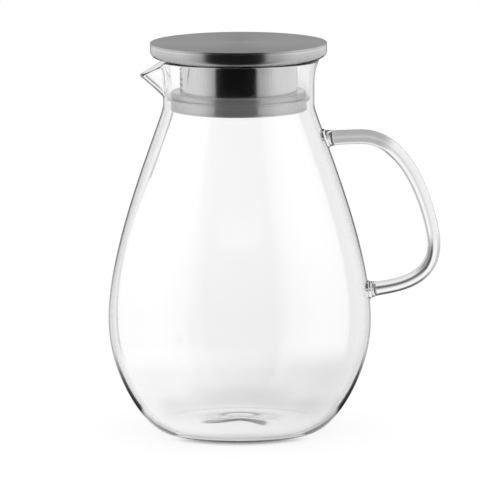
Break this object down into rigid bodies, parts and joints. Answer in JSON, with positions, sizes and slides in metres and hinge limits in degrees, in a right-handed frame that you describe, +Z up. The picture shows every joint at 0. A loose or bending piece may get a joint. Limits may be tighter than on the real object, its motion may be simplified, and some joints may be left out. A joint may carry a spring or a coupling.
{
  "type": "glass pitcher with lid",
  "caption": "Pear-shaped blown glass pitcher with a pulled spout, a looped rod handle and a lift-off steel strainer lid that turns in its silicone seal.",
  "frame": {"origin": "on the body's axis, in the plane of the foot ring that the pitcher stands on", "axes": "+Z up along the body's axis, +X towards the handle, -X towards the spout"},
  "size_m": [0.1897, 0.15, 0.2228],
  "materials": {
    "clear_glass": "clear polished borosilicate",
    "handle_glass": "clear fire-polished rod",
    "lid_top_steel": "fine brushed in rings round the middle",
    "lid_side_steel": "fine brushed round the edge",
    "collar_steel": "fine brushed round the tube",
    "silicone": "translucent matt silicone"
  },
  "bodies": {
    "pitcher": {"glass_body": "clear_glass", "glass_handle": "handle_glass"},
    "seal": {"seal_ring": "silicone"},
    "lid": {"lid_top_plate": "lid_top_steel", "lid_pan": "lid_side_steel", "strainer_collar": "collar_steel"}
  },
  "joints": [
    {"name": "lid_lift", "type": "slide", "parent": "pitcher", "child": "seal", "axis": [0, 0, 1], "range_m": [0, 0.045]},
    {"name": "lid_turn", "type": "hinge", "parent": "seal", "child": "lid", "pos_m": [0, 0, 0.19], "axis": [0, 0, 1], "continuous": true}
  ]
}
